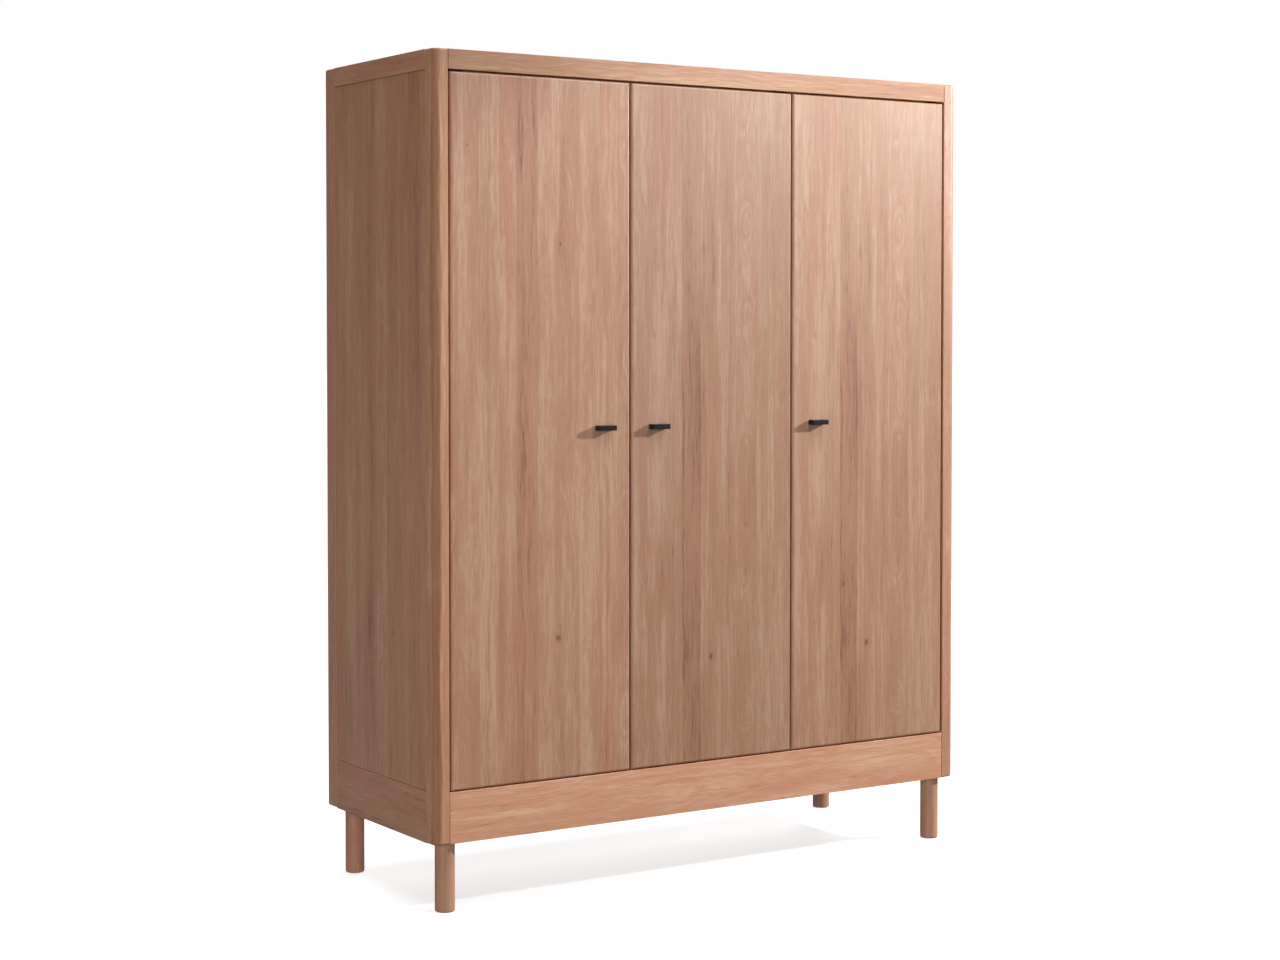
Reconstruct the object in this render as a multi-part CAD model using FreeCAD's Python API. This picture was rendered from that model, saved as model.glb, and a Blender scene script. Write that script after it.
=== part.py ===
import FreeCAD, Part
import os

# Free-standing three-door wardrobe in solid oak, frame-and-panel case on four round legs.
# Millimetres. +Z up, front towards -Y, +X to the right.
# Origin: on the floor, under the centre of the overall box (handles included).

V = FreeCAD.Vector
ALONG_X = V(1, 0, 0)
ALONG_Y = V(0, 1, 0)
ALONG_Z = V(0, 0, 1)
SIDES = (("left", -1.0), ("right", 1.0))

# Overall size
WIDTH = 1560.0
HEIGHT = 2000.0
CASE_DEPTH = 578.0
LEG_HEIGHT = 165.0

# Handles: flat tabs
HANDLE_WIDTH = 48.0
HANDLE_REACH = 22.0
HANDLE_THICK = 12.0
HANDLE_HEIGHT = 1120.0
HANDLE_INSET = 50.0

# Frame
POST_WIDTH = 40.0
FRONT_POST_DEPTH = 38.0
REAR_POST_DEPTH = 60.0
CORNER_RADIUS = 18.0
END_ROUNDING = 5.0
RAIL_THICK = 24.0
REAR_RAIL_THICK = 22.0
TOP_RAIL = 46.0
BOTTOM_RAIL = 120.0
SEAM = 0.7
SHADOW_GAP = 1.4
SHADOW_DEPTH = 5.0

# Panels
SIDE_PANEL_THICK = 16.0
SIDE_PANEL_RECESS = 1.5
TONGUE_THICK = 8.0
TONGUE_DEPTH = 8.0
GROOVE_DEPTH = 10.0
BACK_THICK = 8.0
BACK_REBATE = 12.0
TOP_THICK = 20.0
TOP_RECESS = 2.0
FLOOR_THICK = 20.0
CLEAT = 18.0

# Doors
DOOR_THICK = 20.0
OUTER_DOOR = 489.0
MIDDLE_DOOR = 478.0
SIDE_GAP = 6.0
TOP_GAP = 5.0
BOTTOM_GAP = 3.0
FRONT_EDGE_RADIUS = 5.0
BACK_EDGE_RADIUS = 1.5

# Concealed hinges, measured from the pin
PIN_FROM_EDGE = 18.0
PIN_FROM_FRONT = 12.5
PIN_RADIUS = 2.0
PIN_CLEARANCE = 0.05
KNUCKLE_RADIUS = 3.6
CUP_CENTRE = 4.5
CUP_RADIUS = 17.5
CUP_DEPTH = 13.0
CUP_WALL = 1.0
FLANGE_THICK = 1.2
ARM_THICK = 2.5
ARM_REACH = 12.5
ARM_HALF_WIDTH = 8.0
ARM_BACK = 20.5
ARM_END = 64.0
HINGE_HEIGHTS = (390.0, 876.0, 1362.0, 1848.0)

# Inside
PARTITION_THICK = 22.0
BATTEN_DEPTH = 60.0
HAT_SHELF_HEIGHT = 1650.0
HAT_SHELF_THICK = 22.0
SHELF_HEIGHTS = (608.0, 950.0, 1293.0, 1635.0)
SHELF_THICK = 20.0
SHELF_PIN_RADIUS = 2.5
BUMPER_SHARES = (0.08, 0.7)
HANGING_RAIL_HEIGHT = 1590.0
HANGING_RAIL_RADIUS = 12.5

# Countersunk screws, all horizontal
SCREW_RADIUS = 1.75
SCREW_HEAD_RADIUS = 3.5
SCREW_LENGTH = 16.0
CUP_SCREW_LENGTH = 13.0
RECESS_LENGTH = 4.0
RECESS_WIDTH = 0.8
RECESS_DEPTH = 1.0

# Legs
LEG_RADIUS = 23.5
LEG_ROUNDING = 5.0
LEG_SIDE_INSET = 49.0
LEG_FRONT_INSET = 42.0
LEG_REAR_INSET = 62.0

# Planes worked out from the sizes above
FRONT = -(CASE_DEPTH + HANDLE_REACH) / 2 + HANDLE_REACH
BACK = FRONT + CASE_DEPTH
X_OUT = WIDTH / 2
X_POST = X_OUT - POST_WIDTH
X_RAIL = X_OUT - RAIL_THICK
X_PANEL_OUT = X_OUT - SIDE_PANEL_RECESS
X_PANEL_IN = X_PANEL_OUT - SIDE_PANEL_THICK
Y_POST_FRONT = FRONT + FRONT_POST_DEPTH
Y_POST_REAR = BACK - REAR_POST_DEPTH
Y_RAIL_FRONT = FRONT + RAIL_THICK
Y_BACK_PANEL = BACK - BACK_THICK
Y_RAIL_REAR = Y_BACK_PANEL - REAR_RAIL_THICK
Z_CASE = LEG_HEIGHT
Z_FLOOR = Z_CASE + BOTTOM_RAIL
Z_TOP_RAIL = HEIGHT - TOP_RAIL
Z_TOP_PANEL = HEIGHT - TOP_RECESS - TOP_THICK
DOOR_BOTTOM = Z_FLOOR + BOTTOM_GAP
DOOR_TOP = Z_TOP_RAIL - TOP_GAP
X_LEFT_DOOR = -X_POST + SIDE_GAP
X_MIDDLE_DOOR = X_LEFT_DOOR + OUTER_DOOR + SIDE_GAP
X_RIGHT_DOOR = X_MIDDLE_DOOR + MIDDLE_DOOR + SIDE_GAP
PARTITION_LEFT = X_RIGHT_DOOR
PARTITION_RIGHT = PARTITION_LEFT + PARTITION_THICK
SHELF_FRONT = Y_POST_FRONT
SHELF_BACK = Y_RAIL_REAR - 2.0
PIN_ROWS = (Y_POST_FRONT + 35.0, Y_POST_REAR + 14.0)
PIN_Y = FRONT + PIN_FROM_FRONT

# Each door: name, left edge, width, hinge side (-1 left, +1 right)
DOORS = (
    ("left", X_LEFT_DOOR, OUTER_DOOR, -1.0),
    ("middle", X_MIDDLE_DOOR, MIDDLE_DOOR, 1.0),
    ("right", X_RIGHT_DOOR, OUTER_DOOR, 1.0),
)

nodes = {}


def block(xa, xb, ya, yb, za, zb):
    """Box between two corners, given in any order."""
    low = V(min(xa, xb), min(ya, yb), min(za, zb))
    return Part.makeBox(abs(xb - xa), abs(yb - ya), abs(zb - za), low)


def edges_at(shape, x=None, y=None, z=None):
    """Edges that lie wholly in the given planes."""
    picked = []
    for edge in shape.Edges:
        box = edge.BoundBox
        fits = True
        for want, low, high in ((x, box.XMin, box.XMax), (y, box.YMin, box.YMax), (z, box.ZMin, box.ZMax)):
            if want is not None and (abs(low - want) > 0.05 or abs(high - want) > 0.05):
                fits = False
        if fits:
            picked.append(edge)
    return picked


def cut_from(names, tool):
    """Take the tool's space out of each named node."""
    for name in names:
        nodes[name] = nodes[name].cut(tool)


def screw(point, direction, length):
    """Countersunk screw with a cross recess, and the hole it fills. point is the centre of the head."""
    head_depth = SCREW_HEAD_RADIUS - SCREW_RADIUS
    head = Part.makeCone(SCREW_HEAD_RADIUS, SCREW_RADIUS, head_depth, point, direction)
    hole = head.fuse(Part.makeCylinder(SCREW_RADIUS, length, point, direction)).removeSplitter()
    fixing = hole
    for line in (ALONG_Z, direction.cross(ALONG_Z)):
        half_length = line * RECESS_LENGTH / 2
        half_width = direction.cross(line) * RECESS_WIDTH / 2
        outline = Part.makePolygon([
            point - half_length - half_width,
            point + half_length - half_width,
            point + half_length + half_width,
            point - half_length + half_width,
            point - half_length - half_width,
        ])
        fixing = fixing.cut(Part.Face(outline).extrude(direction * RECESS_DEPTH))
    return fixing, hole


def round_ends(post, face):
    """Ease a post's top and bottom, from the outside face at that Y round the corner to the side."""
    ends = edges_at(post, y=face, z=HEIGHT) + edges_at(post, y=face, z=Z_CASE)
    return post.makeFillet(END_ROUNDING, ends)


def build_posts():
    """Four full-height corner posts, rounded on the outside corner and round its two ends."""
    for side, s in SIDES:
        front = block(s * X_OUT, s * X_POST, FRONT, Y_POST_FRONT, Z_CASE, HEIGHT)
        front = front.makeFillet(CORNER_RADIUS, edges_at(front, x=s * X_OUT, y=FRONT))
        front = front.makeChamfer(SEAM, edges_at(front, x=s * X_POST, y=FRONT))
        front = front.makeChamfer(SEAM, edges_at(front, x=s * X_OUT, y=Y_POST_FRONT))
        nodes["post_front_" + side] = round_ends(front, FRONT)

        rear = block(s * X_OUT, s * X_POST, Y_POST_REAR, BACK, Z_CASE, HEIGHT)
        rear = rear.makeFillet(CORNER_RADIUS, edges_at(rear, x=s * X_OUT, y=BACK))
        rear = rear.makeChamfer(SEAM, edges_at(rear, x=s * X_OUT, y=Y_POST_REAR))
        rear = round_ends(rear, BACK)
        rebate = block(s * X_POST, s * (X_POST + BACK_REBATE), Y_BACK_PANEL, BACK, Z_CASE, HEIGHT)
        nodes["post_rear_" + side] = rear.cut(rebate)


def build_rails():
    """Rails between the posts, with a fine shadow gap at each end of the outside face."""
    heights = (("top", Z_TOP_RAIL, HEIGHT), ("bottom", Z_CASE, Z_FLOOR))
    for level, low, high in heights:
        front = block(-X_POST, X_POST, FRONT, Y_RAIL_FRONT, low, high)
        for side, s in SIDES:
            gap = block(
                s * X_POST, s * (X_POST - SHADOW_GAP), FRONT, FRONT + SHADOW_DEPTH, low, high)
            front = front.cut(gap)
            rail = block(s * X_OUT, s * X_RAIL, Y_POST_FRONT, Y_POST_REAR, low, high)
            for near, far in (
                    (Y_POST_FRONT, Y_POST_FRONT + SHADOW_GAP),
                    (Y_POST_REAR - SHADOW_GAP, Y_POST_REAR)):
                rail = rail.cut(block(s * X_OUT, s * (X_OUT - SHADOW_DEPTH), near, far, low, high))
            nodes["rail_" + side + "_" + level] = rail.makeChamfer(SEAM, edges_at(rail, x=s * X_OUT))
        nodes["rail_front_" + level] = front.makeChamfer(SEAM, edges_at(front, y=FRONT))
        nodes["rail_rear_" + level] = block(-X_POST, X_POST, Y_RAIL_REAR, Y_BACK_PANEL, low, high)


def build_side_panels():
    """Side panels whose tongues sit in grooves, with a fine shadow gap all round the field."""
    tongue_out = X_OUT - 6.0
    tongue_in = tongue_out - TONGUE_THICK
    for side, s in SIDES:
        field = block(
            s * X_PANEL_OUT, s * X_PANEL_IN,
            Y_POST_FRONT + SHADOW_GAP, Y_POST_REAR - SHADOW_GAP,
            Z_FLOOR + SHADOW_GAP, Z_TOP_RAIL - SHADOW_GAP)
        tongue = block(
            s * tongue_out, s * tongue_in,
            Y_POST_FRONT - TONGUE_DEPTH, Y_POST_REAR + TONGUE_DEPTH,
            Z_FLOOR - TONGUE_DEPTH, Z_TOP_RAIL + TONGUE_DEPTH)
        nodes["side_panel_" + side] = field.fuse(tongue).removeSplitter()
        groove = block(
            s * tongue_out, s * tongue_in,
            Y_POST_FRONT - GROOVE_DEPTH, Y_POST_REAR + GROOVE_DEPTH,
            Z_FLOOR - GROOVE_DEPTH, Z_TOP_RAIL + GROOVE_DEPTH)
        frame = ["post_front_" + side, "post_rear_" + side]
        frame += ["rail_" + side + "_top", "rail_" + side + "_bottom"]
        cut_from(frame, groove)


def build_top_and_floor():
    """Top and floor panels, notched round the posts, and the cleats that carry them."""
    corners = []
    for side, s in SIDES:
        corners.append(block(s * X_POST, s * X_OUT, FRONT, Y_POST_FRONT, 0, HEIGHT))
        corners.append(block(s * X_POST, s * X_OUT, Y_POST_REAR, BACK, 0, HEIGHT))
    top = block(-X_RAIL, X_RAIL, Y_RAIL_FRONT, Y_RAIL_REAR, Z_TOP_PANEL, Z_TOP_PANEL + TOP_THICK)
    floor = block(-X_RAIL, X_RAIL, Y_RAIL_FRONT, Y_RAIL_REAR, Z_FLOOR - FLOOR_THICK, Z_FLOOR)
    for corner in corners:
        top = top.cut(corner)
        floor = floor.cut(corner)
    nodes["top_panel"] = top
    nodes["floor_panel"] = floor

    cleats = []
    rows = ((Y_RAIL_FRONT, Y_RAIL_FRONT + CLEAT), (Y_RAIL_REAR - CLEAT, Y_RAIL_REAR))
    for near, far in rows:
        low = Z_FLOOR - FLOOR_THICK - CLEAT
        cleats.append(block(-X_POST, X_POST, near, far, low, low + CLEAT))
        for xa, xb in ((-X_POST, PARTITION_LEFT), (PARTITION_RIGHT, X_POST)):
            cleats.append(block(xa, xb, near, far, Z_TOP_PANEL - CLEAT, Z_TOP_PANEL))
    nodes["panel_cleats"] = Part.makeCompound(cleats)


def build_back_and_partition():
    """Two back panels that meet behind the partition, and the partition itself."""
    edge = X_POST + BACK_REBATE - 0.5
    middle = (PARTITION_LEFT + PARTITION_RIGHT) / 2
    nodes["back_panel_wide"] = block(-edge, middle - 0.5, Y_BACK_PANEL, BACK, Z_CASE, HEIGHT)
    nodes["back_panel_narrow"] = block(middle + 0.5, edge, Y_BACK_PANEL, BACK, Z_CASE, HEIGHT)
    partition = block(PARTITION_LEFT, PARTITION_RIGHT, Y_RAIL_FRONT, Y_BACK_PANEL, Z_FLOOR, Z_TOP_PANEL)
    rear_rail = block(-X_POST, X_POST, Y_RAIL_REAR, Y_BACK_PANEL, Z_TOP_RAIL, HEIGHT)
    nodes["partition"] = partition.cut(rear_rail)


def build_battens():
    """Upright battens behind the front posts, carrying hinges and shelf pins."""
    for side, s in SIDES:
        nodes["hinge_batten_" + side] = block(
            s * X_POST, s * X_PANEL_IN, Y_POST_FRONT, Y_POST_FRONT + BATTEN_DEPTH, Z_FLOOR, Z_TOP_RAIL)


def free_edge(left, width, hinge):
    """X of the door's edge away from its hinges."""
    return left + width if hinge < 0 else left


def build_door_stops():
    """Stop strips behind the tops of the doors, with a rubber bumper each side."""
    low = DOOR_TOP - 13.0
    high = Z_TOP_PANEL - CLEAT
    near = Y_RAIL_FRONT
    far = near + CLEAT
    wide = block(-X_POST + 50.0, PARTITION_LEFT - 50.0, near, far, low, high)
    narrow = block(PARTITION_RIGHT, X_POST - 50.0, near, far, low, high)
    nodes["door_stops"] = Part.makeCompound([wide, narrow])

    gap = Y_RAIL_FRONT - FRONT - DOOR_THICK
    bumpers = []
    for name, left, width, hinge in DOORS:
        for share in BUMPER_SHARES:
            x = free_edge(left, width, hinge) + hinge * share * width
            bumpers.append(Part.makeCylinder(4.0, gap - 0.3, V(x, near, low + 6.5), -ALONG_Y))
    nodes["door_bumpers"] = Part.makeCompound(bumpers)


def leg_places():
    """Centre of each leg on the floor, with its name and corner signs."""
    places = []
    for side, s in SIDES:
        x = s * (X_OUT - LEG_SIDE_INSET)
        places.append(("front_" + side, x, FRONT + LEG_FRONT_INSET, s, -1.0))
        places.append(("rear_" + side, x, BACK - LEG_REAR_INSET, s, 1.0))
    return places


def build_legs():
    """Turned legs, the corner blocks they screw into, and the studs between."""
    blocks = []
    studs = []
    for name, x, y, s, end in leg_places():
        leg = Part.makeCylinder(LEG_RADIUS, LEG_HEIGHT, V(x, y, 0))
        leg = leg.makeFillet(LEG_ROUNDING, edges_at(leg, z=0.0))
        stud = Part.makeCylinder(5.0, 70.0, V(x, y, LEG_HEIGHT - 40.0))
        if end < 0:
            near = Y_RAIL_FRONT
            post = block(s * X_POST, s * X_OUT, FRONT, Y_POST_FRONT, 0, HEIGHT)
        else:
            near = Y_RAIL_REAR
            post = block(s * X_POST, s * X_OUT, Y_POST_REAR, BACK, 0, HEIGHT)
        corner = block(s * X_RAIL, s * (X_RAIL - 72.0), near, near - end * 72.0, Z_CASE, Z_CASE + 40.0)
        nodes["leg_" + name] = leg.cut(stud)
        blocks.append(corner.cut(post).cut(stud))
        studs.append(stud)
    nodes["corner_blocks"] = Part.makeCompound(blocks)
    nodes["leg_studs"] = Part.makeCompound(studs)


def shelf_pin(x, y, z, outwards):
    """Shelf support: round peg into the wall and a flat tab under the shelf."""
    peg = Part.makeCylinder(SHELF_PIN_RADIUS, 10.0, V(x, y, z - 2.5), ALONG_X * outwards)
    tab = block(x, x - outwards * 9.0, y - 6.0, y + 6.0, z - 3.0, z)
    return peg, peg.fuse(tab).removeSplitter()


def build_shelves():
    """Hat shelf over the wide bay and four shelves in the narrow bay, all on pins."""
    pins = []
    bays = [("hat_shelf", HAT_SHELF_HEIGHT, HAT_SHELF_THICK, -X_POST, PARTITION_LEFT, "left")]
    for count, height in enumerate(SHELF_HEIGHTS, start=1):
        bays.append(("shelf_%d" % count, height, SHELF_THICK, PARTITION_RIGHT, X_POST, "right"))
    for name, height, thick, xa, xb, side in bays:
        shelf = block(xa + 1.0, xb - 1.0, SHELF_FRONT, SHELF_BACK, height, height + thick)
        nodes[name] = shelf.makeChamfer(1.0, edges_at(shelf, y=SHELF_FRONT))
        outer_walls = ("hinge_batten_" + side, "post_rear_" + side)
        for y, outer_wall in zip(PIN_ROWS, outer_walls):
            for x, outwards in ((xa, -1.0), (xb, 1.0)):
                peg, pin = shelf_pin(x, y, height, outwards)
                wall = outer_wall if abs(x) == X_POST else "partition"
                cut_from([wall], peg)
                pins.append(pin)
    nodes["shelf_pins"] = Part.makeCompound(pins)


def build_hanging_rail(screws):
    """Tube for hangers, in two screwed sockets, with a wall block at the left side."""
    y = (FRONT + BACK) / 2
    z = HANGING_RAIL_HEIGHT
    nodes["rail_block"] = block(-X_PANEL_IN, -X_POST, y - 40.0, y + 40.0, z - 50.0, z + 50.0)
    walls = ((-X_POST, 1.0, "rail_block"), (PARTITION_LEFT, -1.0, "partition"))
    sockets = []
    for x, inwards, wall in walls:
        flange = Part.makeCylinder(28.0, 4.0, V(x, y, z), ALONG_X * inwards)
        ring = Part.makeCylinder(15.5, 18.0, V(x, y, z), ALONG_X * inwards)
        bore = Part.makeCylinder(HANGING_RAIL_RADIUS, 20.0, V(x + inwards * 4.0, y, z), ALONG_X * inwards)
        socket = flange.fuse(ring).cut(bore).removeSplitter()
        for dy, dz in ((0.0, 21.5), (-18.6, -10.8), (18.6, -10.8)):
            fixing, hole = screw(V(x + inwards * 4.0, y + dy, z + dz), ALONG_X * -inwards, SCREW_LENGTH)
            socket = socket.cut(hole)
            cut_from([wall], hole)
            screws.append(fixing)
        sockets.append(socket)
    nodes["rail_sockets"] = Part.makeCompound(sockets)
    start = -X_POST + 4.0
    length = PARTITION_LEFT - 4.0 - start
    tube = Part.makeCylinder(HANGING_RAIL_RADIUS, length, V(start, y, z), ALONG_X)
    inside = Part.makeCylinder(HANGING_RAIL_RADIUS - 1.2, length, V(start, y, z), ALONG_X)
    nodes["hanging_rail"] = tube.cut(inside)


def hinge_place(left, width, hinge):
    """X of a door's hinge pins."""
    edge = left if hinge < 0 else left + width
    return edge - hinge * PIN_FROM_EDGE


def hinge_block(pin_x, hinge, z, ua, ub, va, vb, wa, wb):
    """Box given from the pin: u into the door, v into the case, w up."""
    return block(
        pin_x - hinge * ua, pin_x - hinge * ub, PIN_Y + va, PIN_Y + vb, z + wa, z + wb)


def hinge_cup(pin_x, hinge, z):
    """The space taken out of the door, the cup with its riveted pin, and its two screws."""
    back_face = DOOR_THICK - PIN_FROM_FRONT
    floor = back_face - CUP_DEPTH
    centre_x = pin_x - hinge * CUP_CENTRE
    bore = Part.makeCylinder(CUP_RADIUS, CUP_DEPTH, V(centre_x, PIN_Y + floor, z), ALONG_Y)
    flange = hinge_block(
        pin_x, hinge, z, CUP_CENTRE - 12.0, CUP_CENTRE + 14.0, back_face, back_face + FLANGE_THICK, -32, 32)
    corners = [edge for edge in flange.Edges if abs(edge.BoundBox.YLength - FLANGE_THICK) < 0.01]
    flange = flange.makeFillet(6.0, corners)
    hollow = Part.makeCylinder(
        CUP_RADIUS - CUP_WALL, 40.0, V(centre_x, PIN_Y + floor + CUP_WALL, z), ALONG_Y)
    pin = Part.makeCylinder(PIN_RADIUS, 32.6, V(pin_x, PIN_Y, z - 16.3), ALONG_Z)
    cup = bore.fuse(flange).cut(hollow).fuse(pin).removeSplitter()
    screws = []
    for offset in (-24.0, 24.0):
        point = V(centre_x - hinge * 6.0, PIN_Y + back_face + FLANGE_THICK, z + offset)
        fixing, hole = screw(point, -ALONG_Y, CUP_SCREW_LENGTH)
        cup = cup.cut(hole)
        bore = bore.fuse(hole)
        screws.append(fixing)
    return bore, cup, screws


def hinge_arm(pin_x, hinge, z):
    """Cranked arm: knuckle on the pin, neck round the door's edge, channel on the wall."""
    wall = PIN_FROM_EDGE + SIDE_GAP
    half = ARM_THICK / 2
    w = ARM_HALF_WIDTH
    reach = ARM_REACH + half
    knuckle = Part.makeCylinder(KNUCKLE_RADIUS, 2 * w, V(pin_x, PIN_Y, z - w), ALONG_Z)
    tongue = hinge_block(pin_x, hinge, z, 0, reach, -half, half, -w, w)
    neck = hinge_block(pin_x, hinge, z, reach - ARM_THICK, reach, -half, ARM_BACK + ARM_THICK, -w, w)
    bridge = hinge_block(pin_x, hinge, z, -wall + 10.0, reach, ARM_BACK, ARM_BACK + ARM_THICK, -w, w)
    channel = hinge_block(pin_x, hinge, z, -wall + 2.0, -wall + 11.0, ARM_BACK, ARM_END, -w, w)
    hollow = hinge_block(
        pin_x, hinge, z, -wall + 2.0, -wall + 9.5, ARM_BACK + 4.0, ARM_END - 1.5, 1.5 - w, w - 1.5)
    bore = Part.makeCylinder(PIN_RADIUS + PIN_CLEARANCE, 4 * w, V(pin_x, PIN_Y, z - 2 * w), ALONG_Z)
    arm = knuckle.fuse([tongue, neck, bridge, channel]).cut(hollow).cut(bore)
    return arm.removeSplitter()


def hinge_plate(pin_x, hinge, z):
    """Cross-shaped mounting plate with a rib inside the arm, its two screws and their holes."""
    wall = PIN_FROM_EDGE + SIDE_GAP
    long_bar = hinge_block(pin_x, hinge, z, -wall, -wall + 2.0, 26.0, 66.0, -9, 9)
    cross_bar = hinge_block(pin_x, hinge, z, -wall, -wall + 2.0, 38.5, 50.5, -24, 24)
    rib = hinge_block(pin_x, hinge, z, -wall, -wall + 7.0, 30.0, 60.0, -5, 5)
    plate = long_bar.fuse([cross_bar, rib])
    screws = []
    holes = []
    for offset in (-16.0, 16.0):
        point = V(pin_x + hinge * (wall - 2.0), PIN_Y + 44.5, z + offset)
        fixing, hole = screw(point, ALONG_X * hinge, SCREW_LENGTH)
        plate = plate.cut(hole)
        screws.append(fixing)
        holes.append(hole)
    return plate.removeSplitter(), screws, holes


def build_handle(name, left, width, hinge):
    """Flat tab handle near the free edge, held by two screws from inside the door."""
    near = free_edge(left, width, hinge) + hinge * HANDLE_INSET
    far = near + hinge * HANDLE_WIDTH
    half = HANDLE_THICK / 2
    tab = block(near, far, FRONT, FRONT - HANDLE_REACH, HANDLE_HEIGHT - half, HANDLE_HEIGHT + half)
    outer = [edge for edge in tab.Edges if edge.BoundBox.YMax < FRONT - 0.1]
    tab = tab.makeFillet(1.5, outer)
    screws = []
    for x in (near + hinge * 12.0, far - hinge * 12.0):
        head = Part.makeCylinder(4.0, 2.2, V(x, FRONT + DOOR_THICK - 0.2, HANDLE_HEIGHT), ALONG_Y)
        head = head.makeFillet(0.8, edges_at(head, y=FRONT + DOOR_THICK + 2.0))
        shank = Part.makeCylinder(2.0, 32.0, V(x, FRONT - 12.0, HANDLE_HEIGHT), ALONG_Y)
        fixing = head.fuse(shank).removeSplitter()
        tab = tab.cut(fixing)
        nodes["door_" + name] = nodes["door_" + name].cut(fixing)
        screws.append(fixing)
    nodes["handle_" + name] = tab
    nodes["handle_screws_" + name] = Part.makeCompound(screws)


def build_doors(screws):
    """Three inset doors with their cups and handles, and the arms and plates on the case."""
    arms = []
    plates = []
    for name, left, width, hinge in DOORS:
        door = block(left, left + width, FRONT, FRONT + DOOR_THICK, DOOR_BOTTOM, DOOR_TOP)
        door = door.makeFillet(FRONT_EDGE_RADIUS, edges_at(door, y=FRONT))
        door = door.makeFillet(BACK_EDGE_RADIUS, edges_at(door, y=FRONT + DOOR_THICK))
        pin_x = hinge_place(left, width, hinge)
        wall = "partition" if name == "middle" else "hinge_batten_" + name
        cups = []
        cup_screws = []
        for z in HINGE_HEIGHTS:
            bore, cup, fixings = hinge_cup(pin_x, hinge, z)
            door = door.cut(bore)
            cups.append(cup)
            cup_screws.extend(fixings)
            arms.append(hinge_arm(pin_x, hinge, z))
            plate, fixings, holes = hinge_plate(pin_x, hinge, z)
            for hole in holes:
                cut_from([wall], hole)
            plates.append(plate)
            screws.extend(fixings)
        nodes["door_" + name] = door
        nodes["hinge_cups_" + name] = Part.makeCompound(cups)
        nodes["cup_screws_" + name] = Part.makeCompound(cup_screws)
        build_handle(name, left, width, hinge)
    nodes["hinge_arms"] = Part.makeCompound(arms)
    nodes["hinge_plates"] = Part.makeCompound(plates)


def build_back_screws(screws):
    """Screws that hold the back panels to the rear rails and posts."""
    wide_x = (-690.0, -470.0, -250.0, -30.0, 190.0)
    narrow_x = (320.0, 505.0, 690.0)
    for z, rail in ((225.0, "rail_rear_bottom"), (1977.0, "rail_rear_top")):
        for panel, columns in (("back_panel_wide", wide_x), ("back_panel_narrow", narrow_x)):
            for x in columns:
                fixing, hole = screw(V(x, BACK, z), -ALONG_Y, SCREW_LENGTH)
                cut_from([panel, rail], hole)
                screws.append(fixing)
    for side, s, panel in (("left", -1.0, "back_panel_wide"), ("right", 1.0, "back_panel_narrow")):
        for z in (500.0, 850.0, 1200.0, 1550.0, 1850.0):
            fixing, hole = screw(V(s * (X_POST + BACK_REBATE / 2), BACK, z), -ALONG_Y, SCREW_LENGTH)
            cut_from([panel, "post_rear_" + side], hole)
            screws.append(fixing)


def build_dowels():
    """Dowels in every joint between a rail and a post."""
    dowels = []
    levels = (("top", (1975.0, 1990.0)), ("bottom", (190.0, 223.0, 256.0)))
    for level, heights in levels:
        for z in heights:
            for side, s in SIDES:
                rows = (("front", FRONT + RAIL_THICK / 2), ("rear", Y_BACK_PANEL - REAR_RAIL_THICK / 2))
                for end, y in rows:
                    dowel = Part.makeCylinder(4.0, 40.0, V(s * X_POST - 20.0, y, z), ALONG_X)
                    cut_from(["post_" + end + "_" + side, "rail_" + end + "_" + level], dowel)
                    dowels.append(dowel)
                columns = (("front", Y_POST_FRONT), ("rear", Y_POST_REAR))
                for end, y in columns:
                    dowel = Part.makeCylinder(4.0, 40.0, V(s * (X_OUT - 12.0), y - 20.0, z), ALONG_Y)
                    cut_from(["post_" + end + "_" + side, "rail_" + side + "_" + level], dowel)
                    dowels.append(dowel)
    nodes["frame_dowels"] = Part.makeCompound(dowels)


def build_all():
    case_screws = []
    build_posts()
    build_rails()
    build_side_panels()
    build_top_and_floor()
    build_back_and_partition()
    build_battens()
    build_door_stops()
    build_legs()
    build_shelves()
    build_hanging_rail(case_screws)
    build_doors(case_screws)
    build_back_screws(case_screws)
    build_dowels()
    nodes["case_screws"] = Part.makeCompound(case_screws)


build_all()
os.makedirs("parts", exist_ok=True)
for name, shape in nodes.items():
    shape.exportStep("parts/" + name + ".step")
print(len(nodes), "nodes written")
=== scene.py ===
import math
import random

import bpy
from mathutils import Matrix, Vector


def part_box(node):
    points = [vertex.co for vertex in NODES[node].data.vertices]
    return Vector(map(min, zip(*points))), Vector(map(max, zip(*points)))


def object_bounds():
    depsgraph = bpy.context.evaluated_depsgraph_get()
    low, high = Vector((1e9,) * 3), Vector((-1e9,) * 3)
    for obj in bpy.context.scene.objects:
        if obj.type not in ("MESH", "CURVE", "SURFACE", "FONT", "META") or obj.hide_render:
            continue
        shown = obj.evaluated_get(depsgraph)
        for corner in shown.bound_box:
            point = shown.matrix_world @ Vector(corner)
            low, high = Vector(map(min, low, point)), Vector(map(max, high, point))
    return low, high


# Three-door wardrobe in solid oak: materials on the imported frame, floor, light and camera. Metres.

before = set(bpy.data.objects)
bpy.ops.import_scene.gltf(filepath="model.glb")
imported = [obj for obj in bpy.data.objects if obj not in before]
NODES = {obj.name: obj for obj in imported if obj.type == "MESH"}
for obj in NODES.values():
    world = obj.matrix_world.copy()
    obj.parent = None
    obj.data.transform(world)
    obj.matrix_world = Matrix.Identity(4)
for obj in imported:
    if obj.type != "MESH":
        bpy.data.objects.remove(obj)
cad_low, cad_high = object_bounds()
X, Y, Z = 0, 1, 2

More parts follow.
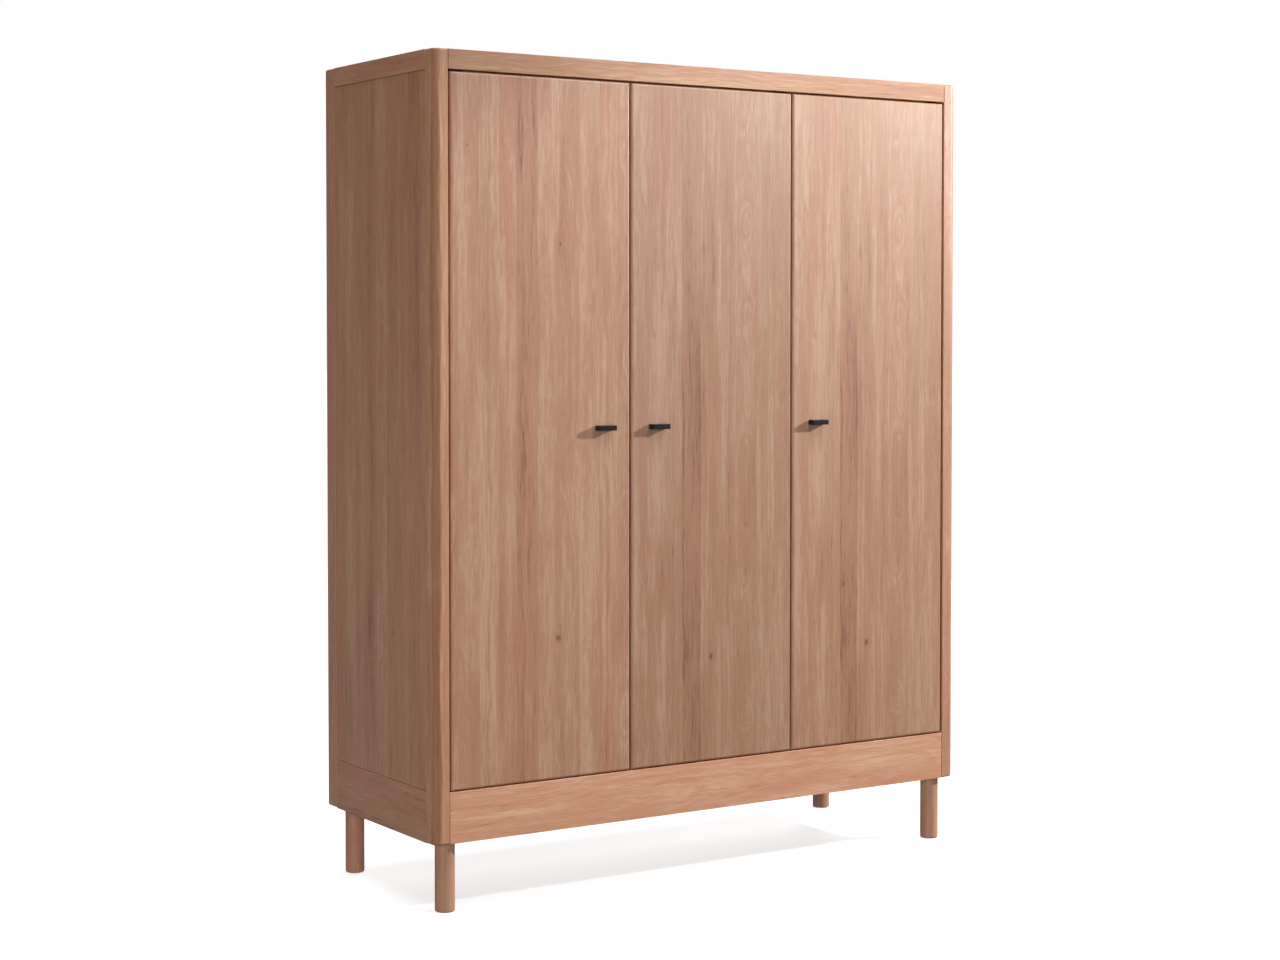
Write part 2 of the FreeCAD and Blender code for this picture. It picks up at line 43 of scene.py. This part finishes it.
# Oak, as linear colour: dark late wood, the body of a tan and of a pink board, pale wood,
# and brown heartwood, which on a post's rounded corner is also painted shade
OAK_DARK = (0.262, 0.104, 0.052)
OAK_TAN = (0.555, 0.296, 0.160)
OAK_PINK = (0.590, 0.256, 0.150)
OAK_PALE = (0.700, 0.418, 0.268)
OAK_HEART_AND_SHADE = (0.330, 0.128, 0.058)

# Finishes of the oak: specular level and mean roughness. Fine grain spreads the roughness about its mean.
SATIN = (0.95, 0.46)
SOFT = (0.45, 0.50)
MATT = (0.15, 0.85)
ROUGHNESS_SPREAD = 0.14
GRAIN_RELIEF = 0.0003
STAVE_WIDTH = 0.055

# Growth rings: how far the heart line is from a plain stave, how much it swings towards and away from the
# face, how much the rings swell, how fine they are, and how much weaker they are in an arched stave
HEART_DISTANCE = 0.15
HEART_SWING = 0.30
HEART_SWING_START = -0.135
RING_SWELL = 0.022
RING_FINENESS = 110.0
ARCH_FADE = 0.40

# Brown heartwood streak in a post, partly painted shade on its rounded corner: how often and how far its
# edge wanders, and how soft the edge is
STREAK_WANDER_RATE = 2.4
STREAK_WANDER = 0.026
STREAK_EDGE = (-0.001, 0.005)

# Strength of the surround from below, where the pale floor lies, and from above
SURROUND_BELOW = 0.31
SURROUND_ABOVE = 0.06

# A knot is a mark no taller than this. It has a halo, and pushes the grain round itself.
KNOT_HEIGHT = 0.010
KNOT_HALO_WIDTH = 2.6
KNOT_HALO_HEIGHT = 14.0
KNOT_HALO_DARKNESS = 0.12
KNOT_PUSH = 0.006

# Marks in the wood of the doors: across from each door's middle, height above the floor, half width,
# half height, darkness and how sharply they end. The middle and right doors share one pattern.
LEFT_DOOR_MARKS = [
    (0.042, 0.623, 0.0060, 0.0085, 0.75, 2.0), (0.040, 0.800, 0.0110, 0.2200, 0.18, 2.0),
    (-0.115, 0.680, 0.0160, 0.1700, 0.16, 2.0), (-0.161, 1.633, 0.0180, 0.0450, 0.14, 2.0),
    (-0.162, 1.367, 0.0160, 0.0450, 0.14, 2.0), (0.030, 1.630, 0.0120, 0.1500, 0.14, 2.0),
    (-0.114, 1.394, 0.0080, 0.0300, 0.12, 2.0), (-0.200, 1.781, 0.0032, 0.0040, 0.60, 2.0),
    (0.049, 1.558, 0.0028, 0.0035, 0.80, 2.0),
]
SHARED_DOOR_MARKS = [
    (-0.005, 0.546, 0.0055, 0.0080, 0.90, 2.0), (-0.046, 1.220, 0.0265, 0.2700, 0.19, 8.0),
    (-0.008, 0.880, 0.0130, 0.1500, 0.12, 2.0), (-0.012, 0.600, 0.0140, 0.1500, 0.16, 2.0),
    (-0.024, 0.380, 0.0180, 0.1300, 0.17, 4.0), (-0.175, 1.343, 0.0050, 0.0100, 0.30, 2.0),
    (-0.028, 1.550, 0.0070, 0.0180, 0.26, 2.0),
]
RIGHT_DOOR_MARKS = [(-0.081, 0.701, 0.0032, 0.0042, 0.70, 2.0)]


class Shader:
    """Adds nodes to one material and links them as it goes."""

    def __init__(self, name):
        self.material = bpy.data.materials.new(name)
        self.material.use_nodes = True
        self.tree = self.material.node_tree
        self.tree.nodes.clear()
        self.output = self.tree.nodes.new("ShaderNodeOutputMaterial")
        self.surface = self.tree.nodes.new("ShaderNodeBsdfPrincipled")
        self.tree.links.new(self.surface.outputs[0], self.output.inputs["Surface"])

    def feed(self, socket, value):
        """Links value into the socket if it is a socket, and otherwise sets it there."""
        if isinstance(value, bpy.types.NodeSocket):
            self.tree.links.new(value, socket)
        else:
            socket.default_value = value

    def set(self, **values):
        """Sets sockets of the surface shader by name, with _ for a space."""
        for name, value in values.items():
            self.feed(self.surface.inputs[name.replace("_", " ")], value)

    def math(self, operation, *values, clamp=False):
        node = self.tree.nodes.new("ShaderNodeMath")
        node.operation = operation
        node.use_clamp = clamp
        for socket, value in zip(node.inputs, values):
            self.feed(socket, value)
        return node.outputs[0]

    def length(self, a, b):
        """The square root of a squared plus b squared."""
        squares = self.math("ADD", self.math("MULTIPLY", a, a), self.math("MULTIPLY", b, b))
        return self.math("SQRT", squares)

    def stretched(self, place, scale_x, scale_y, z, **settings):
        """Noise of two coordinates with a scale each, and a third one as it is."""
        x = self.math("MULTIPLY", place[0], scale_x)
        y = self.math("MULTIPLY", place[1], scale_y)
        return self.noise(self.vector(x, y, z), **settings)

    def position(self):
        """Object coordinates, split into their three axes."""
        place = self.tree.nodes.new("ShaderNodeTexCoord")
        split = self.tree.nodes.new("ShaderNodeSeparateXYZ")
        self.tree.links.new(place.outputs["Object"], split.inputs[0])
        return list(split.outputs)

    def vector(self, x, y, z):
        node = self.tree.nodes.new("ShaderNodeCombineXYZ")
        for socket, value in zip(node.inputs, (x, y, z)):
            self.feed(socket, value)
        return node.outputs[0]

    def noise(self, place, scale=1.0, detail=2.0, roughness=0.5, distortion=0.0):
        """Noise about 0.5, from a vector, or from one number as a line."""
        node = self.tree.nodes.new("ShaderNodeTexNoise")
        line = place.type == "VALUE"
        node.noise_dimensions = "1D" if line else "3D"
        self.feed(node.inputs["W" if line else "Vector"], place)
        self.feed(node.inputs["Scale"], scale)
        self.feed(node.inputs["Detail"], detail)
        self.feed(node.inputs["Roughness"], roughness)
        self.feed(node.inputs["Distortion"], distortion)
        return node.outputs[0]

    def steps(self, value, low, high, start=0.0, end=1.0):
        """Value from low to high, eased into start to end."""
        node = self.tree.nodes.new("ShaderNodeMapRange")
        node.interpolation_type = "SMOOTHSTEP"
        for socket, number in zip(node.inputs, (value, low, high, start, end)):
            self.feed(socket, number)
        return node.outputs[0]

    def mix(self, share, first, second):
        node = self.tree.nodes.new("ShaderNodeMix")
        node.data_type = "RGBA"
        self.feed(node.inputs["Factor"], share)
        for key, colour in (("A", first), ("B", second)):
            socket = [s for s in node.inputs if s.name == key and s.type == "RGBA"][0]
            self.feed(socket, colour if isinstance(colour, bpy.types.NodeSocket) else (*colour, 1.0))
        return [s for s in node.outputs if s.type == "RGBA"][0]

    def bump(self, height, distance, strength=1.0):
        node = self.tree.nodes.new("ShaderNodeBump")
        node.inputs["Strength"].default_value = strength
        node.inputs["Distance"].default_value = distance
        self.feed(node.inputs["Height"], height)
        self.tree.links.new(node.outputs[0], self.surface.inputs["Normal"])


def staves(s, side, seed):
    """Full-length glued staves: three random numbers for each stave, place across it, its glue lines."""
    row = s.math("MULTIPLY_ADD", side, 1.0 / STAVE_WIDTH, seed * 7.31)
    cells = s.tree.nodes.new("ShaderNodeTexVoronoi")
    edges = s.tree.nodes.new("ShaderNodeTexVoronoi")
    edges.feature = "DISTANCE_TO_EDGE"
    for node in (cells, edges):
        node.voronoi_dimensions = "1D"
        node.inputs["Scale"].default_value = 1.0
        node.inputs["Randomness"].default_value = 0.3
        s.feed(node.inputs["W"], row)
    split = s.tree.nodes.new("ShaderNodeSeparateColor")
    s.tree.links.new(cells.outputs["Color"], split.inputs[0])
    local = s.math("MULTIPLY", s.math("SUBTRACT", row, cells.outputs["W"]), STAVE_WIDTH)
    return list(split.outputs)[:3], local, s.steps(edges.outputs["Distance"], 0.005, 0.020, 1.0, 0.0)


def spot(s, across, along, wide, tall, power=2.0):
    """A soft oval spot, 1 in its middle. An even power over 2 makes it squarer, with a crisper edge."""
    across = s.math("POWER", s.math("DIVIDE", across, wide), power)
    along = s.math("POWER", s.math("DIVIDE", along, tall), power)
    return s.math("EXPONENT", s.math("MULTIPLY", s.math("ADD", across, along), -1.0))


def wood_marks(s, grain, up, marks):
    """Knots and brown streaks: how dark they are, and how far they push the grain aside."""
    dark = 0.0
    push = 0.0
    for mark_side, mark_up, wide, tall, depth, power in marks:
        across = s.math("SUBTRACT", grain, mark_side)
        along = s.math("SUBTRACT", up, mark_up)
        dark = s.math("MULTIPLY_ADD", spot(s, across, along, wide, tall, power), depth, dark)
        if tall < KNOT_HEIGHT:
            halo = spot(s, across, along, wide * KNOT_HALO_WIDTH, wide * KNOT_HALO_HEIGHT)
            dark = s.math("MULTIPLY_ADD", halo, KNOT_HALO_DARKNESS, dark)
            push = s.math("MULTIPLY_ADD", halo, KNOT_PUSH, push)
    return dark, push


def heartwood_and_shade_streak(s, place, up, x, y, reach, seed):
    """Brown heartwood in a post along the upright line at x, y, with a wandering edge; on the rounded
    corner it is also painted shade.
    """
    line = s.vector(s.math("MULTIPLY", up, STREAK_WANDER_RATE), seed, 0.0)
    wander = s.noise(line, detail=1.0, roughness=0.4)
    off_line = s.length(s.math("SUBTRACT", place[X], x), s.math("SUBTRACT", place[Y], y))
    inner, outer = STREAK_EDGE
    return s.steps(weigh(s, off_line, (wander, STREAK_WANDER)), reach + inner, reach + outer, 1.0, 0.0)


def weigh(s, start, *parts):
    """Start plus the sum of each part's noise about 0.5, times its weight."""
    total = start
    for noise, weight in parts:
        total = s.math("MULTIPLY_ADD", s.math("SUBTRACT", noise, 0.5), weight, total)
    return total


def streaks(s, grain, travel, deep, fineness, run):
    """Noise drawn out along the grain."""
    return s.noise(s.vector(s.math("MULTIPLY", grain, fineness), s.math("MULTIPLY", travel, run),
                            s.math("MULTIPLY", deep, fineness)), detail=2.0, roughness=0.55)


def growth_rings(s, local, shift, side, deep, travel, chance, seed):
    """Rings round the heart line, which is beside the stave unless the stave shows arches and eyes."""
    first, second, third = chance
    arched = s.steps(second, 0.50, 0.58)
    off_heart = s.math("ADD", s.math("ADD", local, shift),
                       s.math("MULTIPLY_ADD", arched, -HEART_DISTANCE, HEART_DISTANCE))
    off_heart = s.math("ADD", off_heart, s.math("MULTIPLY_ADD", first, 0.03, -0.015))
    swing = s.stretched((side, travel), 4.0, 2.6, seed * 0.7, detail=2.0)
    depth = s.math("ADD", deep, s.math("MULTIPLY_ADD", swing, HEART_SWING, HEART_SWING_START))
    swell = s.stretched((side, travel), 16.0, 9.0, seed * 0.4, detail=3.0)
    ring = weigh(s, s.length(off_heart, depth), (swell, RING_SWELL))
    ring = s.math("ADD", ring, s.math("MULTIPLY", third, 3.0))
    rings = s.noise(ring, scale=RING_FINENESS, detail=4.0, roughness=0.70)
    return weigh(s, 0.5, (rings, s.math("MULTIPLY_ADD", arched, -ARCH_FADE, 1.0)))


def oak_colour(s, value, pink, gain):
    """Value 0 is dark late wood and 1 is pale wood. Pink turns the body between them from tan to pink."""
    dark, tan, pinkish, pale = [tuple(gain * c for c in colour)
                                for colour in (OAK_DARK, OAK_TAN, OAK_PINK, OAK_PALE)]
    colour = s.mix(s.steps(value, 0.50, 1.05), s.mix(pink, tan, pinkish), pale)
    return s.mix(s.steps(value, -0.20, 0.52), dark, colour)


def oak(name, along, across, seed, glued=False, gain=1.0, figure=1.0, finish=SATIN,
        marks=(), heart_and_shade_line=None):
    """Oiled solid oak. Gain lightens or darkens a piece, and figure strengthens its pattern."""
    s = Shader(name)
    rng = random.Random(seed)
    through = 3 - along - across
    low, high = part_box(name)
    centre = (low + high) / 2
    place = s.position()
    up = place[along]
    side = s.math("SUBTRACT", place[across], centre[across])
    deep = s.math("SUBTRACT", place[through], centre[through])
    chance, local, joint = (rng.random(), rng.random(), rng.random()), side, 0.0
    if glued:
        chance, local, joint = staves(s, side, seed)
    first, second, third = chance
    sheen, roughness = finish

    # Each stave has its own stretch of grain, and the grain wanders a little
    travel = s.math("MULTIPLY_ADD", third, 9.0, up)
    flat = (side, travel)
    bend = s.stretched(flat, 9.0, 1.4, seed * 1.7, detail=2.0)
    wobble = s.stretched(flat, 45.0, 16.0, s.math("MULTIPLY", deep, 45.0), detail=3.0)
    wander = weigh(s, 0.0, (bend, 0.026), (wobble, 0.0045))
    mark_place = s.math("ADD", side, weigh(s, 0.0, (wobble, 0.010)))
    dark_mark, push = wood_marks(s, mark_place, up, marks)
    shift = s.math("ADD", push, wander)
    grain = s.math("ADD", side, shift)

    rings = growth_rings(s, local, shift, side, deep, travel, chance, seed)
    broad = streaks(s, grain, travel, deep, 36.0, 2.2)
    middle = streaks(s, grain, travel, deep, 120.0, 6.5)
    fine = streaks(s, grain, travel, deep, 400.0, 20.0)
    fibre = streaks(s, grain, travel, deep, 1400.0, 40.0)
    pores = s.steps(fibre, 0.60, 0.74)
    vessels = s.steps(streaks(s, grain, travel, deep, 300.0, 13.0), 0.55, 0.72)
    heartwood = s.steps(streaks(s, grain, travel, deep, 21.0, 1.8), 0.58, 0.74)
    cloud = s.stretched(flat, 9.0, 2.4, seed * 0.9, detail=2.0)

    pattern = weigh(s, 0.0, (rings, 0.95), (broad, 0.90), (middle, 0.50), (fine, 0.85),
                    (cloud, 0.60), (first, 0.34))
    for part, weight in ((heartwood, -0.20), (pores, -0.18), (vessels, -0.26), (joint, -0.06)):
        pattern = s.math("MULTIPLY_ADD", part, weight, pattern)
    value = s.math("SUBTRACT", s.math("MULTIPLY_ADD", pattern, figure, 0.60), dark_mark)

    patch = s.stretched(flat, 12.0, 0.8, seed * 2.3, detail=2.0)
    pink = s.math("MULTIPLY_ADD", third, 0.5, s.steps(patch, 0.36, 0.64, 0.0, 0.5), clamp=True)
    colour = oak_colour(s, value, pink, gain)
    # Brown streak: partly heartwood, partly painted shade on the post's rounded corner that faces away
    # from the key light
    if heart_and_shade_line:
        streak = heartwood_and_shade_streak(s, place, up, *heart_and_shade_line, seed)
        colour = s.mix(s.math("MULTIPLY", streak, s.steps(value, 0.0, 0.9, 0.95, 0.6)), colour, OAK_HEART_AND_SHADE)
    shine = s.math("MULTIPLY_ADD", fine, -ROUGHNESS_SPREAD, roughness + ROUGHNESS_SPREAD / 2)
    s.set(Base_Color=colour, Roughness=shine, Specular_IOR_Level=sheen)
    s.bump(weigh(s, 0.0, (fine, 0.6), (rings, 0.4), (fibre, 0.8)), GRAIN_RELIEF, 0.5)
    return s.material


def black_metal(name):
    """Fine-textured matt black powder coat."""
    s = Shader(name)
    place = s.vector(*s.position())
    grit = s.noise(place, scale=2600.0, detail=2.0)
    patch = s.noise(place, scale=60.0, detail=2.0)
    s.set(Base_Color=s.mix(patch, (0.006, 0.005, 0.005), (0.012, 0.011, 0.011)),
          Roughness=s.math("MULTIPLY_ADD", patch, 0.12, 0.42), Specular_IOR_Level=0.3)
    s.bump(grit, 0.00005, 0.5)
    return s.material


def plated_steel(name, tint, roughness):
    """Plated steel with faint rolling lines and a slightly uneven shine."""
    s = Shader(name)
    x, y, z = s.position()
    lines = s.noise(s.vector(x, s.math("MULTIPLY", y, 0.05), z), scale=1800.0, detail=2.0)
    patch = s.noise(s.vector(x, y, z), scale=90.0, detail=3.0)
    darker = tuple(0.82 * c for c in tint)
    s.set(Base_Color=s.mix(patch, darker, tint), Metallic=1.0,
          Roughness=s.math("MULTIPLY_ADD", patch, 0.14, roughness))
    s.bump(lines, 0.00003, 0.4)
    return s.material


def rubber(name):
    """Soft translucent-grey bumper rubber."""
    s = Shader(name)
    grit = s.noise(s.vector(*s.position()), scale=900.0, detail=2.0)
    s.set(Base_Color=s.mix(grit, (0.42, 0.41, 0.38), (0.52, 0.51, 0.48)), Roughness=0.55)
    s.bump(grit, 0.00005, 0.3)
    return s.material


def dress(node, material):
    """Puts one material on every slot of a CAD node."""
    mesh = NODES[node].data
    mesh.materials.clear()
    mesh.materials.append(material)


def dress_wood():
    """Every oak piece gets its own boards: grain axis, axis across it, glued, gain, figure, finish."""
    jobs = []
    for side in ("left", "right"):
        jobs.append(("post_rear_" + side, Z, Y, False, 1.0, 0.8))
        jobs.append(("rail_" + side + "_top", Y, Z, False, 1.0, 0.8, SOFT))
        jobs.append(("rail_" + side + "_bottom", Y, Z, False, 1.0, 0.9))
        jobs.append(("side_panel_" + side, Z, Y, True, 0.98, 0.9))
        jobs.append(("hinge_batten_" + side, Z, Y, False, 1.0, 0.8))
        for end in ("front", "rear"):
            jobs.append(("leg_" + end + "_" + side, Z, X, False, 1.08, 0.8))
    jobs.append(("post_front_right", Z, X, False, 1.0, 0.8))
    for end in ("front", "rear"):
        jobs.append(("rail_" + end + "_top", X, Z, False, 0.91, 0.9, SOFT))
        jobs.append(("rail_" + end + "_bottom", X, Z, False, 1.27, 0.9))
    for shelf in ("hat_shelf", "shelf_1", "shelf_2", "shelf_3", "shelf_4"):
        jobs.append((shelf, X, Y, True))
    jobs.append(("top_panel", X, Y, True, 1.0, 1.0, MATT))
    jobs.append(("floor_panel", X, Y, True))
    jobs.append(("partition", Z, Y, True))
    jobs.append(("back_panel_wide", Z, X, True, 1.0, 1.0, MATT))
    jobs.append(("back_panel_narrow", Z, X, True, 1.0, 1.0, MATT))
    jobs.append(("panel_cleats", X, Z))
    jobs.append(("door_stops", X, Z))
    jobs.append(("corner_blocks", X, Y))
    jobs.append(("rail_block", Z, Y))
    jobs.append(("frame_dowels", X, Z, False, 1.15))
    for seed, (node, *grain) in enumerate(jobs, start=11):
        along, across, *finish = grain
        dress(node, oak(node, along, across, seed, *finish))

    # Line of the brown streak on the front left post's rounded corner: partly heartwood, partly painted
    # shade
    post_corner = (cad_low.x + 0.007, cad_low.y + 0.0245, 0.011)
    dress("post_front_left", oak("post_front_left", Z, X, 69, False, 1.0, 0.8, SOFT, (), post_corner))
    dress("door_left", oak("door_left", Z, X, 77, True, 0.870, marks=LEFT_DOOR_MARKS))
    dress("door_middle", oak("door_middle", Z, X, 72, True, 0.770, marks=SHARED_DOOR_MARKS))
    right_marks = SHARED_DOOR_MARKS + RIGHT_DOOR_MARKS
    dress("door_right", oak("door_right", Z, X, 72, True, 0.835, marks=right_marks))


def dress_hardware():
    """Handles, hinges, screws, pins, rail and bumpers."""
    nickel = plated_steel("nickel_plate", (0.66, 0.64, 0.60), 0.26)
    zinc = plated_steel("zinc_plate", (0.50, 0.50, 0.49), 0.45)
    chrome = plated_steel("chrome_tube", (0.74, 0.74, 0.75), 0.10)
    black = black_metal("black_powder_coat")
    for door in ("left", "middle", "right"):
        dress("handle_" + door, black)
        dress("handle_screws_" + door, zinc)
        dress("hinge_cups_" + door, nickel)
        dress("cup_screws_" + door, zinc)
    for node in ("hinge_arms", "hinge_plates", "shelf_pins"):
        dress(node, nickel)
    for node in ("case_screws", "leg_studs"):
        dress(node, zinc)
    for node in ("hanging_rail", "rail_sockets"):
        dress(node, chrome)
    dress("door_bumpers", rubber("bumper_rubber"))


def make_floor():
    """Wide pale floor, bright as a light table. It takes shadows but sends nothing back onto the oak."""
    mesh = bpy.data.meshes.new("floor")
    reach = 60.0
    corners = [(-reach, -reach, 0), (reach, -reach, 0), (reach, reach, 0), (-reach, reach, 0)]
    mesh.from_pydata(corners, [], [(0, 1, 2, 3)])
    floor = bpy.data.objects.new("floor", mesh)
    bpy.context.scene.collection.objects.link(floor)
    s = Shader("pale_floor")
    cloud = s.noise(s.vector(*s.position()), scale=3.0, detail=2.0)
    s.set(Base_Color=s.mix(cloud, (0.54, 0.54, 0.54), (0.56, 0.56, 0.56)),
          Roughness=0.8, Specular_IOR_Level=0.1,
          Emission_Color=(1.0, 1.0, 1.0, 1.0), Emission_Strength=0.72)
    mesh.materials.append(s.material)
    floor.visible_diffuse = False
    floor.visible_glossy = False


def make_world():
    """Studio surround: dim above, brighter from below like a pale floor, and white as a backdrop."""
    world = bpy.data.worlds.new("studio")
    bpy.context.scene.world = world
    world.use_nodes = True
    tree = world.node_tree
    tree.nodes.clear()
    make = tree.nodes.new
    output = make("ShaderNodeOutputWorld")
    blend = make("ShaderNodeMixShader")
    path = make("ShaderNodeLightPath")
    ambient = make("ShaderNodeBackground")
    backdrop = make("ShaderNodeBackground")
    backdrop.inputs["Strength"].default_value = 1.0
    backdrop.inputs["Color"].default_value = (1.0, 1.0, 1.0, 1.0)
    direction = make("ShaderNodeTexCoord")
    split = make("ShaderNodeSeparateXYZ")
    height = make("ShaderNodeMapRange")
    for socket, number in zip(list(height.inputs)[1:5], (-0.05, 0.05, SURROUND_BELOW, SURROUND_ABOVE)):
        socket.default_value = number
    tree.links.new(direction.outputs["Generated"], split.inputs[0])
    tree.links.new(split.outputs["Z"], height.inputs["Value"])
    tree.links.new(height.outputs[0], ambient.inputs["Strength"])
    tree.links.new(path.outputs["Is Camera Ray"], blend.inputs[0])
    tree.links.new(ambient.outputs[0], blend.inputs[1])
    tree.links.new(backdrop.outputs[0], blend.inputs[2])
    tree.links.new(blend.outputs[0], output.inputs["Surface"])


def add_light(name, kind, place, aim, power):
    """A light at a place, turned towards a point."""
    light = bpy.data.lights.new(name, kind)
    light.energy = power
    obj = bpy.data.objects.new(name, light)
    obj.location = place
    obj.rotation_euler = (Vector(aim) - Vector(place)).to_track_quat("-Z", "Y").to_euler()
    obj.visible_camera = False
    bpy.context.scene.collection.objects.link(obj)
    return light


def soft_box(name, place, aim, size, power, tint=(1.0, 1.0, 1.0)):
    light = add_light(name, "AREA", place, aim, power)
    light.shape = "DISK"
    light.size = size
    light.color = tint


def make_lights():
    """Crisp key from the right, whose beam fades at the top left corner, and soft boxes all round."""
    front = cad_low.y
    key = add_light("key", "SPOT", (4.9, -2.5, 3.12), (-1.108, 0.92, 0.142), 1250.0)
    key.spot_size = math.radians(28.6)
    key.spot_blend = 0.06
    key.shadow_soft_size = 0.15
    soft_box("top_box", (0.5, -1.3, 3.0), (0.0, front, 1.7), 1.0, 19.0, (0.88, 1.0, 1.16))
    soft_box("front_fill", (-3.5, -5.5, 2.2), (0.0, front, 1.2), 1.5, 62.0, (1.0, 0.93, 0.85))
    soft_box("side_fill", (-3.5, -2.5, 0.9), (cad_low.x, -0.2, 0.6), 1.2, 23.0)
    soft_box("rear_fill", (4.5, 4.5, 2.4), (0.0, cad_high.y, 1.0), 2.0, 260.0)
    overhead = add_light("overhead", "SUN", (0.0, 0.0, 4.0), (0.0, 0.0, 0.0), 2.0)
    overhead.angle = math.radians(50.0)


def make_camera():
    """Front-left, a little below the middle of the top half, nearly level."""
    data = bpy.data.cameras.new("camera")
    data.sensor_width = 36.0
    data.lens = 65.88
    data.shift_y = -0.0648
    camera = bpy.data.objects.new("camera", data)
    camera.location = (-3.3004, -5.0374, 1.3609)
    camera.rotation_euler = (math.radians(90.0 - 1.7027), 0.0, math.radians(-32.948))
    bpy.context.scene.collection.objects.link(camera)
    bpy.context.scene.camera = camera


dress_wood()
dress_hardware()
make_floor()
make_world()
make_lights()
make_camera()
bpy.context.scene.view_settings.view_transform = "Standard"
